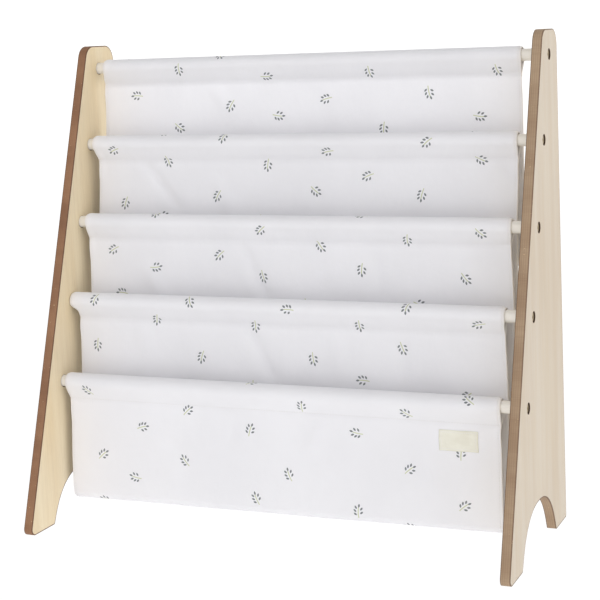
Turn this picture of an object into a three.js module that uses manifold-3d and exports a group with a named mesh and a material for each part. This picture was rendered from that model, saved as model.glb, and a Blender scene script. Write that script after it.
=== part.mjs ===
import * as THREE from "three";
import { mergeVertices } from "three/addons/utils/BufferGeometryUtils.js";
import Module from "manifold-3d";

// A child's sling book rack: two plywood side panels joined by five stepped rods,
// and a cloth sling that hangs over the rods in four book pockets.
// Lengths are in millimetres. +X is to the right seen from the front, +Y is to the back
// and +Z is up. The origin is on the floor, at the middle of the rack's footprint.

const wasm = await Module();
wasm.setup();

// Whole rack
const RACK_WIDTH = 632;
const RACK_HEIGHT = 612;
const SEAT_GAP = 0.3;
const CUT_OVERRUN = 1;

// Side panels: plywood, with a leaning front edge and an arch that leaves two feet
const PANEL_THICKNESS = 12;
const PANEL_FLOOR_DEPTH = 268.2;
const PANEL_TOP_DEPTH = 67.5;
const TOP_CORNER_RADIUS = 17;
const FRONT_FOOT_RADIUS = 8;
const FOOT_EDGE_RADIUS = 3;
const FRONT_FOOT_LENGTH = 56;
const ARCH_WIDTH = 160;
const ARCH_HEIGHT = 60.2;
const ARCH_LEG_HEIGHT = 6;
const ARCH_FLARE = 3;
// Where the arch's curve handles lie: across from the middle, and up from the floor
const ARCH_SHOULDER_SHARES = [0.845, 0.46];
const ARCH_CROWN_SHARES = [0.625, 1];
const OUTLINE_STEPS = 7;

// Rods: lacquered dowels, let into blind sockets in the panels' inner faces
const ROD_COUNT = 5;
const ROD_DIAMETER = 15;
const ROD_CHAMFER = 0.8;
const TOP_ROD_DROP = 30.1;
const LOWEST_ROD_HEIGHT = 180.4;
const ROD_SETBACK = 38.5;
const ROD_SOCKET_DEPTH = 4;
const ROD_SOCKET_CLEARANCE = 0.5;
const ROD_SIDES = 28;

// Connector bolts, sunk in the outer faces, and the inserts that they screw into
const BOLT_HEAD_DIAMETER = 13;
const BOLT_HEAD_THICKNESS = 2.2;
const BOLT_HEAD_EDGE = 0.5;
const BOLT_HEAD_CLEARANCE = 0.5;
const BOLT_HEAD_SINK = 1.6;
const BOLT_SHANK_DIAMETER = 6;
const BOLT_SHANK_CLEARANCE = 0.4;
const BOLT_REACH = 20;
const BOLT_TIP_CHAMFER = 1;
const KEY_WIDTH = 4;
const KEY_DEPTH = 2.8;
const INSERT_DIAMETER = 9.6;
const INSERT_LENGTH = 14;
const INSERT_LEAD = 1.2;
const ROD_BORE_SPARE = 3;
const BOLT_SIDES = 16;

// Sling: canvas, with a sleeve round each rod and a pocket between each two rods
const CLOTH_THICKNESS = 1;
const SLEEVE_WALL = 2.2;
const SLEEVE_EASE = 0.5;
const SLEEVE_LEFT_GAP = 11;
const SLEEVE_RIGHT_GAP = 20;
const SLEEVE_WRAP_SHARE = 2 / 3;
const SLEEVE_WAIST_SHARE = 2 / 3;
const POCKET_INSET = 0.5;
const SEAM_DROP = 22;
const SEAM_ALLOWANCE = 3;
const POCKET_DROP = 155.5;
const POCKET_FRONT_LEAN = 3;
const POCKET_BACK_LEAN = 6;
const LEAN_REACH = 110;
// At 1 a pocket's floor is a half round, and a lower share gives it a flatter floor with tighter corners
const POCKET_ROUNDNESS_SHARE = 0.6;
const POCKET_SAG = 1;
const FOLD_DEPTH = 2;
const FOLD_REACH = 90;
const FOLD_COUNT = 3.5;
const FOLD_SHIFT_SHARE = 0.37;
const PUCKER_DEPTH = 1;
const PUCKER_COUNT = 7;
const SLING_STATIONS = 12;
const WALL_STEPS = 4;
const FLOOR_STEPS = 6;
const SLEEVE_STEPS = 10;

// Label: a bare woven patch on the front of the lowest pocket
const LABEL_WIDTH = 48;
const LABEL_HEIGHT = 25;
const LABEL_THICKNESS = 0.6;
const LABEL_SIDE_MARGIN = 28;
const LABEL_DROP = 31;
const LABEL_STEPS = 4;

// Shared places worked out from the sizes above
const innerFace = RACK_WIDTH / 2 - PANEL_THICKNESS;
const frontSlope = (PANEL_FLOOR_DEPTH - PANEL_TOP_DEPTH) / RACK_HEIGHT;
const frontFootAngle = Math.atan2(1, frontSlope);
const frontFootTangent = FRONT_FOOT_RADIUS / Math.tan(frontFootAngle / 2);
const foremost = frontFootTangent - FRONT_FOOT_RADIUS;
const frontCornerY = -(foremost + PANEL_FLOOR_DEPTH) / 2;
const frontEdgeY = (height) => frontCornerY + frontSlope * height;
const backEdgeY = frontCornerY + PANEL_FLOOR_DEPTH;

// Rod axes from the top rod, number 0, down to the lowest
const topRodHeight = RACK_HEIGHT - TOP_ROD_DROP;
const rods = Array.from({ length: ROD_COUNT }, (_, index) => {
  const z = THREE.MathUtils.lerp(topRodHeight, LOWEST_ROD_HEIGHT, index / (ROD_COUNT - 1));
  return { y: frontEdgeY(z) + ROD_SETBACK, z };
});
const socketFloor = innerFace + ROD_SOCKET_DEPTH;
const rodLength = 2 * (socketFloor - SEAT_GAP);
const headSeat = RACK_WIDTH / 2 - BOLT_HEAD_SINK - BOLT_HEAD_THICKNESS;
const boltBoreDepth = BOLT_REACH + ROD_BORE_SPARE;

// The sling hangs a little nearer to the left panel, with its pockets just inside its sleeves
const sleeveLength = 2 * innerFace - SLEEVE_LEFT_GAP - SLEEVE_RIGHT_GAP;
const pocketWidth = sleeveLength - 2 * POCKET_INSET;
const slingShift = (SLEEVE_LEFT_GAP - SLEEVE_RIGHT_GAP) / 2;

// A sleeve hangs with its top at rest on its rod, and two pockets meet under its seam
const sleeveSettle = SLEEVE_EASE - SEAT_GAP;
const pocketTopDrop = SEAM_DROP + sleeveSettle + SEAT_GAP;
const layerShift = (CLOTH_THICKNESS + SEAT_GAP) / 2;

// Materials
const finish = (color, roughness, metalness = 0) =>
  new THREE.MeshStandardMaterial({ color, roughness, metalness });
const plywood = () => finish(0xd8cbb0, 0.55);
const lacquer = () => finish(0xe2dfd2, 0.4);
const bronze = () => finish(0x6e5f4c, 0.4, 0.9);
const zinc = () => finish(0xa9a79f, 0.45, 0.9);
const canvas = () => finish(0xe5e5e9, 0.9);
const wovenLabel = () => finish(0xe8e6d7, 0.85);

const rack = new THREE.Group();

function addPiece(name, geometry, material) {
  const piece = new THREE.Mesh(geometry, material);
  piece.name = name;
  rack.add(piece);
  return piece;
}

// Solids for cutting
function solidFrom(geometry) {
  const bare = geometry.clone();
  bare.deleteAttribute("normal");
  bare.deleteAttribute("uv");
  const merged = mergeVertices(bare);
  const vertProperties = merged.attributes.position.array;
  const triVerts = new Uint32Array(merged.index.array);
  return new wasm.Manifold(new wasm.Mesh({ numProp: 3, vertProperties, triVerts }));
}

function geometryFrom(solid) {
  const mesh = solid.getMesh();
  const geometry = new THREE.BufferGeometry();
  geometry.setAttribute("position", new THREE.BufferAttribute(mesh.vertProperties, mesh.numProp));
  geometry.setIndex(new THREE.BufferAttribute(mesh.triVerts, 1));
  geometry.computeVertexNormals();
  return geometry;
}

function cutAway(geometry, cutters) {
  const cut = cutters.reduce((solid, cutter) => solid.subtract(solidFrom(cutter)), solidFrom(geometry));
  return geometryFrom(cut);
}

// A round pin along X, from one x to another, about a rod's axis
function pinAlongX(diameter, fromX, toX, rod, sides) {
  const pin = new THREE.CylinderGeometry(diameter / 2, diameter / 2, toX - fromX, sides);
  pin.rotateZ(Math.PI / 2);
  pin.translate((fromX + toX) / 2, rod.y, rod.z);
  return pin;
}

// A revolved piece along X: the profile gives [distance along X, radius] pairs
function revolvedAlongX(profile, sides) {
  const points = profile.map(([along, radius]) => new THREE.Vector2(radius, along));
  const turned = new THREE.LatheGeometry(points, sides);
  turned.rotateZ(-Math.PI / 2);
  return turned;
}

// Side panels

// Draws a line towards a corner and rounds the corner, with the path's next heading given
function roundCorner(path, before, corner, after, radius) {
  const toBefore = before.clone().sub(corner).normalize();
  const toAfter = after.clone().sub(corner).normalize();
  const halfAngle = toBefore.angleTo(toAfter) / 2;
  const tangent = radius / Math.tan(halfAngle);
  const start = corner.clone().addScaledVector(toBefore, tangent);
  const end = corner.clone().addScaledVector(toAfter, tangent);
  const inward = toBefore.clone().add(toAfter).normalize();
  const centre = corner.clone().addScaledVector(inward, radius / Math.sin(halfAngle));
  const startAngle = start.clone().sub(centre).angle();
  const endAngle = end.clone().sub(centre).angle();
  const clockwise = toBefore.cross(toAfter) > 0;
  path.lineTo(start.x, start.y);
  path.absarc(centre.x, centre.y, radius, startAngle, endAngle, clockwise);
}

function panelOutline() {
  const point = (y, z) => new THREE.Vector2(y, z);
  const archFront = frontCornerY + FRONT_FOOT_LENGTH;
  const archBack = archFront + ARCH_WIDTH;
  const archMiddle = (archFront + archBack) / 2;
  const halfArch = ARCH_WIDTH / 2;
  const legHalf = halfArch - ARCH_FLARE;
  const shoulder = { y: halfArch * ARCH_SHOULDER_SHARES[0], z: ARCH_HEIGHT * ARCH_SHOULDER_SHARES[1] };
  const crown = { y: halfArch * ARCH_CROWN_SHARES[0], z: ARCH_HEIGHT * ARCH_CROWN_SHARES[1] };

  const frontToe = point(frontCornerY, 0);
  const frontTop = point(frontEdgeY(RACK_HEIGHT), RACK_HEIGHT);
  const backTop = point(backEdgeY, RACK_HEIGHT);
  const backHeel = point(backEdgeY, 0);
  const archBackToe = point(archBack, 0);
  const archBackLeg = point(archMiddle + legHalf, ARCH_LEG_HEIGHT);
  const archFrontLeg = point(archMiddle - legHalf, ARCH_LEG_HEIGHT);
  const archFrontHeel = point(archFront, 0);

  const outline = new THREE.Shape();
  const middleOfFrontFoot = (frontToe.x + archFrontHeel.x) / 2;
  outline.moveTo(middleOfFrontFoot, 0);
  roundCorner(outline, frontToe, archFrontHeel, archFrontLeg, FOOT_EDGE_RADIUS);
  outline.lineTo(archFrontLeg.x, archFrontLeg.y);
  outline.bezierCurveTo(
    archMiddle - shoulder.y, shoulder.z, archMiddle - crown.y, crown.z, archMiddle, ARCH_HEIGHT,
  );
  outline.bezierCurveTo(
    archMiddle + crown.y, crown.z, archMiddle + shoulder.y, shoulder.z, archBackLeg.x, archBackLeg.y,
  );
  roundCorner(outline, archBackLeg, archBackToe, backHeel, FOOT_EDGE_RADIUS);
  roundCorner(outline, archBackToe, backHeel, backTop, FOOT_EDGE_RADIUS);
  roundCorner(outline, backHeel, backTop, frontTop, TOP_CORNER_RADIUS);
  roundCorner(outline, backTop, frontTop, frontToe, TOP_CORNER_RADIUS);
  roundCorner(outline, frontTop, frontToe, archFrontHeel, FRONT_FOOT_RADIUS);
  outline.closePath();
  return outline;
}

// A panel stands at one side, side -1 for the left and 1 for the right
function sidePanel(side) {
  const blank = new THREE.ExtrudeGeometry(panelOutline(), {
    depth: PANEL_THICKNESS,
    bevelEnabled: false,
    curveSegments: OUTLINE_STEPS,
  });
  // The outline's plane becomes YZ, and its thickness runs along X
  const axes = new THREE.Matrix4().makeBasis(
    new THREE.Vector3(0, 1, 0),
    new THREE.Vector3(0, 0, 1),
    new THREE.Vector3(1, 0, 0),
  );
  blank.applyMatrix4(axes);
  blank.translate(side > 0 ? innerFace : -innerFace - PANEL_THICKNESS, 0, 0);

  const outerFace = RACK_WIDTH / 2;
  const cutters = rods.flatMap((rod) => [
    boreAcross(side, BOLT_SHANK_DIAMETER + 2 * BOLT_SHANK_CLEARANCE, innerFace - CUT_OVERRUN,
      outerFace + CUT_OVERRUN, rod, BOLT_SIDES),
    boreAcross(side, BOLT_HEAD_DIAMETER + 2 * BOLT_HEAD_CLEARANCE, headSeat - SEAT_GAP,
      outerFace + CUT_OVERRUN, rod, BOLT_SIDES),
    boreAcross(side, ROD_DIAMETER + 2 * ROD_SOCKET_CLEARANCE, innerFace - CUT_OVERRUN,
      socketFloor, rod, ROD_SIDES),
  ]);
  return cutAway(blank, cutters);
}

function boreAcross(side, diameter, nearX, farX, rod, sides) {
  const fromX = side > 0 ? nearX : -farX;
  const toX = side > 0 ? farX : -nearX;
  return pinAlongX(diameter, fromX, toX, rod, sides);
}

addPiece("side_panel_left", sidePanel(-1), plywood());
addPiece("side_panel_right", sidePanel(1), plywood());

// Rods, bored at each end for an insert
function rodBody() {
  const radius = ROD_DIAMETER / 2;
  const boreRadius = INSERT_DIAMETER / 2 + SEAT_GAP;
  const end = rodLength / 2;
  return revolvedAlongX(
    [
      [boltBoreDepth - end, 0],
      [boltBoreDepth - end, boreRadius],
      [-end, boreRadius],
      [-end, radius - ROD_CHAMFER],
      [ROD_CHAMFER - end, radius],
      [end - ROD_CHAMFER, radius],
      [end, radius - ROD_CHAMFER],
      [end, boreRadius],
      [end - boltBoreDepth, boreRadius],
      [end - boltBoreDepth, 0],
    ],
    ROD_SIDES,
  );
}

// A threaded insert, with its mouth at x = 0 and its body running to +X
function insertBody() {
  const bore = BOLT_SHANK_DIAMETER / 2 + BOLT_SHANK_CLEARANCE;
  const radius = INSERT_DIAMETER / 2;
  return revolvedAlongX(
    [
      [0, bore],
      [0, radius],
      [INSERT_LENGTH - INSERT_LEAD, radius],
      [INSERT_LENGTH, radius - INSERT_LEAD],
      [INSERT_LENGTH, bore],
      [0, bore],
    ],
    BOLT_SIDES,
  );
}

// A connector bolt, with the seat of its head at x = 0 and its shank running to +X
function boltBody() {
  const headRadius = BOLT_HEAD_DIAMETER / 2;
  const shankRadius = BOLT_SHANK_DIAMETER / 2;
  const tip = headSeat - rodLength / 2 + BOLT_REACH;
  const turned = revolvedAlongX(
    [
      [-BOLT_HEAD_THICKNESS, 0],
      [-BOLT_HEAD_THICKNESS, headRadius - BOLT_HEAD_EDGE],
      [BOLT_HEAD_EDGE - BOLT_HEAD_THICKNESS, headRadius],
      [0, headRadius],
      [0, shankRadius],
      [tip - BOLT_TIP_CHAMFER, shankRadius],
      [tip, shankRadius - BOLT_TIP_CHAMFER],
      [tip, 0],
    ],
    BOLT_SIDES,
  );
  const keyCorner = KEY_WIDTH / Math.sqrt(3);
  const key = new THREE.CylinderGeometry(keyCorner, keyCorner, KEY_DEPTH + CUT_OVERRUN, 6);
  key.rotateZ(Math.PI / 2);
  key.translate((KEY_DEPTH - CUT_OVERRUN) / 2 - BOLT_HEAD_THICKNESS, 0, 0);
  return cutAway(turned, [key]);
}

rods.forEach((rod, index) => {
  const number = index + 1;
  const body = addPiece(`rod_${number}`, rodBody(), lacquer());
  body.position.set(0, rod.y, rod.z);

  [["left", -1], ["right", 1]].forEach(([sideName, side]) => {
    const insert = addPiece(`rod_insert_${sideName}_${number}`, insertBody(), zinc());
    insert.position.set(side * (rodLength / 2 - SEAT_GAP), rod.y, rod.z);
    insert.rotation.z = side > 0 ? Math.PI : 0;

    const bolt = addPiece(`connector_bolt_${sideName}_${number}`, boltBody(), bronze());
    bolt.position.set(side * headSeat, rod.y, rod.z);
    bolt.rotation.z = side > 0 ? Math.PI : 0;
  });
});

// Sling

const smooth = (share) => THREE.MathUtils.smoothstep(share, 0, 1);

// How far the cloth that hangs from a rod moves back at a place along the rod
function foldShift(rodIndex, along, drop) {
  const phase = rodIndex * FOLD_SHIFT_SHARE;
  const wave = Math.sin(2 * Math.PI * ((FOLD_COUNT * along) / pocketWidth + phase));
  return FOLD_DEPTH * wave * smooth((drop - pocketTopDrop) / FOLD_REACH);
}

// How far a pocket's cloth sinks at a place along the rods: most at the middle
function sagDrop(along, dropShare) {
  const side = (2 * along) / pocketWidth;
  return POCKET_SAG * (1 - side * side) * dropShare;
}

// A flat section swept along X: place(point, along) gives each corner's y and z at a station
function sweepAlongX(outline, holes, width, place) {
  const rings = [outline, ...holes];
  const corners = rings.flat();
  const positions = [];
  for (let station = 0; station < SLING_STATIONS; station++) {
    const along = width * (station / (SLING_STATIONS - 1) - 1 / 2);
    corners.forEach((point) => {
      const placed = place(point, along);
      positions.push(along + slingShift, placed.y, placed.z);
    });
  }
  const indices = [];
  let first = 0;
  rings.forEach((ring) => {
    for (let station = 0; station < SLING_STATIONS - 1; station++) {
      const here = station * corners.length + first;
      const there = here + corners.length;
      ring.forEach((_, corner) => {
        const next = (corner + 1) % ring.length;
        indices.push(here + corner, here + next, there + next);
        indices.push(here + corner, there + next, there + corner);
      });
    }
    first += ring.length;
  });
  // The two end faces, each less its holes
  const section = (ring) => ring.map((point) => new THREE.Vector2(point.y, point.z));
  const endFace = THREE.ShapeUtils.triangulateShape(section(outline), holes.map(section));
  const last = (SLING_STATIONS - 1) * corners.length;
  endFace.forEach(([a, b, c]) => {
    indices.push(a, c, b);
    indices.push(last + a, last + b, last + c);
  });
  const geometry = new THREE.BufferGeometry();
  geometry.setAttribute("position", new THREE.Float32BufferAttribute(positions, 3));
  geometry.setIndex(indices);
  geometry.computeVertexNormals();
  return geometry;
}

// A share of a circle's radius, moved outward for a flatter floor
function flattened(share) {
  return Math.sign(share) * Math.abs(share) ** POCKET_ROUNDNESS_SHARE;
}

// The middle of a pocket's cloth, from the seam under its back rod to the seam under its front rod
function pocketMiddle(index) {
  const back = rods[index];
  const front = rods[index + 1];
  const bottomBack = back.y - POCKET_BACK_LEAN;
  const bottomFront = front.y - POCKET_FRONT_LEAN;
  const radius = (bottomBack - bottomFront) / 2;
  const centre = { y: (bottomBack + bottomFront) / 2, z: front.z - POCKET_DROP + radius };
  const backLength = back.z - centre.z;
  const frontLength = front.z - centre.z;
  const middle = [];
  const backSteps = 2 * WALL_STEPS;
  for (let step = 0; step < backSteps; step++) {
    const drop = THREE.MathUtils.lerp(pocketTopDrop, backLength, step / backSteps);
    middle.push({ y: backWallY(back, drop), z: back.z - drop, drop, forward: 0 });
  }
  for (let step = 0; step <= FLOOR_STEPS; step++) {
    const forward = step / FLOOR_STEPS;
    const turn = Math.PI * forward;
    const z = centre.z - radius * flattened(Math.sin(turn));
    const drop = THREE.MathUtils.lerp(back.z, front.z, forward) - z;
    middle.push({ y: centre.y + radius * flattened(Math.cos(turn)), z, drop, forward });
  }
  for (let step = WALL_STEPS - 1; step >= 0; step--) {
    const drop = THREE.MathUtils.lerp(pocketTopDrop, frontLength, step / WALL_STEPS);
    middle.push({ y: frontWallY(front, drop), z: front.z - drop, drop, forward: 1 });
  }
  return middle;
}

// How far a wall's lean has grown at a drop below its rod, from 0 at its seam to 1
function leanShare(drop) {
  return smooth((drop - pocketTopDrop) / LEAN_REACH);
}

// The wall behind a pocket hangs from the pocket's back rod, in front of the cloth layer there
function backWallY(rod, drop) {
  return THREE.MathUtils.lerp(rod.y - layerShift, rod.y - POCKET_BACK_LEAN, leanShare(drop));
}

// The wall in front of a pocket hangs from its front rod, behind the next pocket's back wall
function frontWallY(rod, drop) {
  return THREE.MathUtils.lerp(rod.y + layerShift, rod.y - POCKET_FRONT_LEAN, leanShare(drop));
}

// The cloth's two faces, half its thickness to each side of its middle line
function clothOutline(middle) {
  const faces = [1, -1].map((face) =>
    middle.map((point, index) => {
      const before = middle[Math.max(index - 1, 0)];
      const after = middle[Math.min(index + 1, middle.length - 1)];
      const length = Math.hypot(after.y - before.y, after.z - before.z);
      const out = (face * CLOTH_THICKNESS) / 2 / length;
      return {
        ...point,
        y: point.y + out * (after.z - before.z),
        z: point.z - out * (after.y - before.y),
      };
    }),
  );
  return [...faces[0], ...faces[1].reverse()];
}

// A pocket's cloth, folded and sagging: forward is 0 at the back wall and 1 at the front wall
function pocketCloth(index) {
  const length = rods[index].z - rods[index + 1].z + POCKET_DROP;
  return sweepAlongX(clothOutline(pocketMiddle(index)), [], pocketWidth, (point, along) => {
    const backShift = foldShift(index, along, point.drop);
    const frontShift = foldShift(index + 1, along, point.drop);
    const whole = THREE.MathUtils.lerp(length, POCKET_DROP, point.forward);
    const dropShare = smooth((point.drop - pocketTopDrop) / (whole - pocketTopDrop));
    return {
      y: point.y + THREE.MathUtils.lerp(backShift, frontShift, point.forward),
      z: point.z - sagDrop(along, dropShare),
    };
  });
}

// A loop round a rod, drawn anticlockwise in Y and Z, with its two ends led to a tail below.
// Its flats just touch the circle, and each tail corner is reached by way of a waist point.
function loopRing(radius, tail) {
  const wrap = 2 * Math.PI * SLEEVE_WRAP_SHARE;
  const corner = radius / Math.cos(wrap / SLEEVE_STEPS / 2);
  const arc = [];
  for (let step = 0; step <= SLEEVE_STEPS; step++) {
    const angle = (Math.PI - wrap) / 2 + (wrap * step) / SLEEVE_STEPS;
    arc.push({ y: corner * Math.cos(angle), z: corner * Math.sin(angle) });
  }
  const waist = (end, foot) => ({
    y: THREE.MathUtils.lerp(end.y, foot.y, SLEEVE_WAIST_SHARE),
    z: THREE.MathUtils.lerp(end.z, foot.z, SLEEVE_WAIST_SHARE),
  });
  return [...arc, waist(arc.at(-1), tail.at(0)), ...tail, waist(arc.at(0), tail.at(-1))];
}

// A sleeve round a rod, stitched to itself below the rod
function sleeveCloth(index) {
  const rod = rods[index];
  const innerRadius = ROD_DIAMETER / 2 + SLEEVE_EASE;
  const tailHalf = layerShift + CLOTH_THICKNESS / 2;
  const outer = loopRing(innerRadius + SLEEVE_WALL, [
    { y: -tailHalf, z: -SEAM_DROP },
    { y: tailHalf, z: -SEAM_DROP },
  ]);
  const inner = loopRing(innerRadius, [{ y: 0, z: SEAM_ALLOWANCE - SEAM_DROP }]).reverse();
  return sweepAlongX(outer, [inner], sleeveLength, (point, along) => {
    const turns = (PUCKER_COUNT * along) / sleeveLength + index * FOLD_SHIFT_SHARE;
    const pucker = (PUCKER_DEPTH * (1 + Math.cos(2 * Math.PI * turns))) / 2;
    const down = THREE.MathUtils.clamp(-point.z / SEAM_DROP, 0, 1);
    const belly = 4 * down * (1 - down) * Math.sign(point.y);
    return { y: rod.y + point.y + pucker * belly, z: rod.z + point.z - sleeveSettle };
  });
}

rods.forEach((_, index) => addPiece(`sling_sleeve_${index + 1}`, sleeveCloth(index), canvas()));
rods.slice(1).forEach((_, index) => addPiece(`sling_pocket_${index + 1}`, pocketCloth(index), canvas()));

// Label, a patch that follows the front of the lowest pocket
function labelPatch() {
  const front = rods[ROD_COUNT - 1];
  const rightEdge = pocketWidth / 2 - LABEL_SIDE_MARGIN;
  const wallFace = (along, drop) => {
    const middle = frontWallY(front, drop) + foldShift(ROD_COUNT - 1, along, drop);
    return middle - CLOTH_THICKNESS / 2 - SEAT_GAP;
  };
  const patch = new THREE.BoxGeometry(LABEL_WIDTH, LABEL_THICKNESS, LABEL_HEIGHT, LABEL_STEPS, 1, LABEL_STEPS);
  patch.translate(rightEdge - LABEL_WIDTH / 2, -LABEL_THICKNESS / 2, -LABEL_DROP - LABEL_HEIGHT / 2);
  const place = patch.attributes.position;
  for (let corner = 0; corner < place.count; corner++) {
    const along = place.getX(corner);
    const drop = -place.getZ(corner);
    place.setXYZ(corner, along + slingShift, place.getY(corner) + wallFace(along, drop), front.z - drop);
  }
  patch.computeVertexNormals();
  return patch;
}

addPiece("sling_label", labelPatch(), wovenLabel());

export default rack;
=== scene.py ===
from math import asin, atan2, copysign, cos, pi, radians, sin, tan

import bmesh
import bpy
import numpy as np
from mathutils import Matrix, Vector
from mathutils.geometry import interpolate_bezier, tessellate_polygon


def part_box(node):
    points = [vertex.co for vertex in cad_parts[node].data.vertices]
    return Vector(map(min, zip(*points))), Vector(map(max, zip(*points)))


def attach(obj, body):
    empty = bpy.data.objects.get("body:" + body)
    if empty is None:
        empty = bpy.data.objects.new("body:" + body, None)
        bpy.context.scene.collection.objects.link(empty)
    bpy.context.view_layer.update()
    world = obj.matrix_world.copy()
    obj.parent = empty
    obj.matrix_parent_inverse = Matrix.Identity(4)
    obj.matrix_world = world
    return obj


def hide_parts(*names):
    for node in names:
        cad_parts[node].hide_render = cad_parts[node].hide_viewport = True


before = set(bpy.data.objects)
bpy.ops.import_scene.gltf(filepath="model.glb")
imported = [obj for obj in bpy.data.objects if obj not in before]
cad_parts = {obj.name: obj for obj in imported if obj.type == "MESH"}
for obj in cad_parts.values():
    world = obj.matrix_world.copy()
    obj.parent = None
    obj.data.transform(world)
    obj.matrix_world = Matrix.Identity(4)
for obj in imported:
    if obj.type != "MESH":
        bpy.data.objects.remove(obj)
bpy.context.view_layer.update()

# Side panels
# Two boards of 12 mm birch plywood, cut by laser, so that every cut edge is scorched brown
# and shows its plies. Each stands on two feet beside an arch. Blind sockets for the rods are
# bored in the inner faces, and the bolts go in from outside through sunk holes.

board_low, board_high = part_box("side_panel_right")
inner_face = board_low.x
outer_face = board_high.x
board_thickness = outer_face - inner_face
board_height = board_high.z
back_edge = board_high.y
floor_depth = 0.2682
top_depth = 0.0675
front_corner = back_edge - floor_depth
top_corner_radius = 0.02
front_foot_radius = 0.008
foot_edge_radius = 0.003
front_foot_length = 0.056
arch_width = 0.16
arch_height = 0.0602
arch_leg_height = 0.006
arch_flare = 0.003
arch_shoulder_shares = (0.845, 0.46)
arch_crown_shares = (0.625, 1)
arch_steps = 22
arc_step = 0.0015
arris = 0.0005
scorched_rim = 0.0018

rod_count = 5
rod_numbers = range(1, rod_count + 1)
rod_boxes = [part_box(f"rod_{number}") for number in rod_numbers]
rod_axes = [((low.y + high.y) / 2, (low.z + high.z) / 2) for low, high in rod_boxes]
rod_radius = (rod_boxes[0][1].z - rod_boxes[0][0].z) / 2
socket_clearance = 0.0005
socket_radius = rod_radius + socket_clearance
socket_lowered = 0.0004
socket_depth = 0.004
socket_scorch = 0.0008
head_hole_radius = 0.0067
head_hole_depth = 0.0041
shank_hole_radius = 0.0034
hole_scorch = 0.0006
hole_ease = 0.0002
hole_edge = 0.0003
hole_sides = 48
ply_pitch = 0.0026
ply_waver = 0.0004


def round_corner(before, corner, after, radius):
    """An arc that rounds one corner of an outline, from the side before to the side after."""
    to_before = (before - corner).normalized()
    to_after = (after - corner).normalized()
    half = to_before.angle(to_after) / 2
    centre = corner + (to_before + to_after).normalized() * (radius / sin(half))
    start = corner + to_before * (radius / tan(half)) - centre
    end = corner + to_after * (radius / tan(half)) - centre
    turn = atan2(start.x * end.y - start.y * end.x, start.dot(end))
    steps = max(4, round(abs(turn) * radius / arc_step))
    turns = [turn * step / steps for step in range(steps + 1)]
    return [centre + Matrix.Rotation(angle, 2) @ start for angle in turns]


def board_outline():
    """The panel's outline in Y and Z, from the front foot round by the back."""
    arch_front = front_corner + front_foot_length
    arch_back = arch_front + arch_width
    middle = (arch_front + arch_back) / 2
    half = arch_width / 2
    leg = (half - arch_flare, arch_leg_height)
    shoulder = (half * arch_shoulder_shares[0], arch_height * arch_shoulder_shares[1])
    crown = (half * arch_crown_shares[0], arch_height * arch_crown_shares[1])

    def pair(point):
        """The same point of the arch on its front and its back half."""
        return [Vector((middle + side * point[0], point[1])) for side in (-1, 1)]

    def curve(*handles):
        points = interpolate_bezier(*(handle.to_3d() for handle in handles), arch_steps)
        return [point.to_2d() for point in points]

    toe = Vector((front_corner, 0))
    front_top = Vector((back_edge - top_depth, board_height))
    back_top = Vector((back_edge, board_height))
    heel = Vector((back_edge, 0))
    arch_heel = Vector((arch_front, 0))
    arch_toe = Vector((arch_back, 0))
    arch_top = Vector((middle, arch_height))
    front_leg, back_leg = pair(leg)
    front_shoulder, back_shoulder = pair(shoulder)
    front_crown, back_crown = pair(crown)
    outline = round_corner(toe, arch_heel, front_leg, foot_edge_radius)
    outline += curve(front_leg, front_shoulder, front_crown, arch_top)
    outline += curve(arch_top, back_crown, back_shoulder, back_leg)[1:]
    outline += round_corner(back_leg, arch_toe, heel, foot_edge_radius)
    outline += round_corner(arch_toe, heel, back_top, foot_edge_radius)
    outline += round_corner(heel, back_top, front_top, top_corner_radius)
    outline += round_corner(back_top, front_top, toe, top_corner_radius)
    outline += round_corner(front_top, toe, arch_heel, front_foot_radius)
    return outline


def inset(outline, distance):
    """The outline moved inward by a distance all the way round."""
    moved = []
    for index, here in enumerate(outline):
        before = (here - outline[index - 1]).normalized()
        after = (outline[(index + 1) % len(outline)] - here).normalized()
        inward = Vector((-before.y - after.y, before.x + after.x)).normalized()
        lean = inward.dot(Vector((-before.y, before.x)))
        moved.append(here + inward * (distance / max(lean, 0.5)))
    return moved


class Shell:
    """A closed skin, drawn ring by ring, with one mark kept at each point."""

    def __init__(self):
        self.points = []
        self.marks = []
        self.faces = []

    def ring(self, points, mark=0.0):
        first = len(self.points)
        self.points += [tuple(point) for point in points]
        self.marks += [mark] * len(points)
        return list(range(first, len(self.points)))

    def bridge(self, here, there):
        for index in range(len(here)):
            after = (index + 1) % len(here)
            self.faces.append((here[index], here[after], there[after], there[index]))

    def chain(self, rings):
        for here, there in zip(rings, rings[1:]):
            self.bridge(here, there)

    def object(self, name, finish, mark_name, crease=50):
        mesh = bpy.data.meshes.new(name)
        mesh.from_pydata(self.points, [], self.faces)
        marks = mesh.attributes.new(mark_name, "FLOAT", "POINT")
        marks.data.foreach_set("value", self.marks)
        return finished(name, mesh, finish, crease)


def placed(name, contents):
    """A new object in the scene."""
    made = bpy.data.objects.new(name, contents)
    bpy.context.scene.collection.objects.link(made)
    return made


def finished(name, mesh, finish, crease):
    """An object for a closed mesh, with its faces turned outward."""
    turned = bmesh.new()
    turned.from_mesh(mesh)
    bmesh.ops.recalc_face_normals(turned, faces=turned.faces)
    turned.to_mesh(mesh)
    turned.free()
    mesh.shade_smooth()
    mesh.set_sharp_from_angle(angle=radians(crease))
    mesh.materials.append(finish)
    return placed(name, mesh)


def circle(x, axis, radius, sides):
    """A ring of points round an axis that runs along X."""
    turns = [2 * pi * side / sides for side in range(sides)]
    return [(x, axis[0] + radius * cos(a), axis[1] + radius * sin(a)) for a in turns]


def maths(operation):
    """A method that adds one Math node."""

    def method(self, other=0.0):
        return self.tree.node("ShaderNodeMath", {"operation": operation}, [self, other])

    return method


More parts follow.
